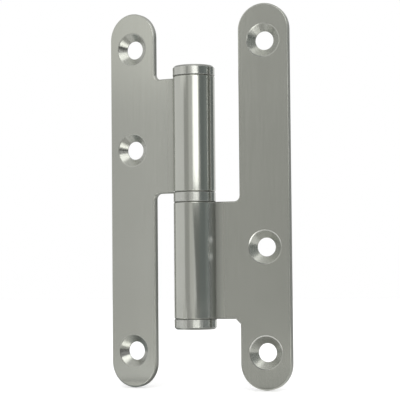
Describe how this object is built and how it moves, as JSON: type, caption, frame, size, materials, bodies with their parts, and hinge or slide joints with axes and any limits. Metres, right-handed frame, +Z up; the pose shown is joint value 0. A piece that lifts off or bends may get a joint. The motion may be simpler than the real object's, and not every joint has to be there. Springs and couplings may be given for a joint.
{
  "type": "paumelle hinge",
  "caption": "Stainless lift-off hinge with round-ended bent leaves, countersunk screw holes, rolled knuckles on one standing pin, a bearing ring and plugged ends.",
  "frame": {"origin": "on the back face of the frame leaf, midway between its two outer screw holes and so at the hinge's mid-height", "axes": "+Z up along the pin, the way the door leaf lifts off; +X along the frame leaf, away from the pin; +Y into the frame that the leaf is screwed to, so the countersunk faces look along -Y"},
  "size_m": [0.0713, 0.0168, 0.14],
  "materials": {
    "leaf_steel": "satin",
    "turned_steel": "satin"
  },
  "bodies": {
    "frame": {"frame_leaf": "leaf_steel", "hinge_pin": "turned_steel", "lower_plug": "turned_steel"},
    "ring": {"bearing_ring": "turned_steel"},
    "door": {"door_leaf": "leaf_steel", "upper_plug": "turned_steel"}
  },
  "joints": [
    {"name": "door_swing", "type": "hinge", "parent": "frame", "child": "ring", "pos_m": [-0.0265, -0.0026, 0], "axis": [0, 0, 1], "range_deg": [-150, 190.4]},
    {"name": "lift_off", "type": "slide", "parent": "ring", "child": "door", "axis": [0, 0, 1], "range_m": [0, 0.04]}
  ]
}
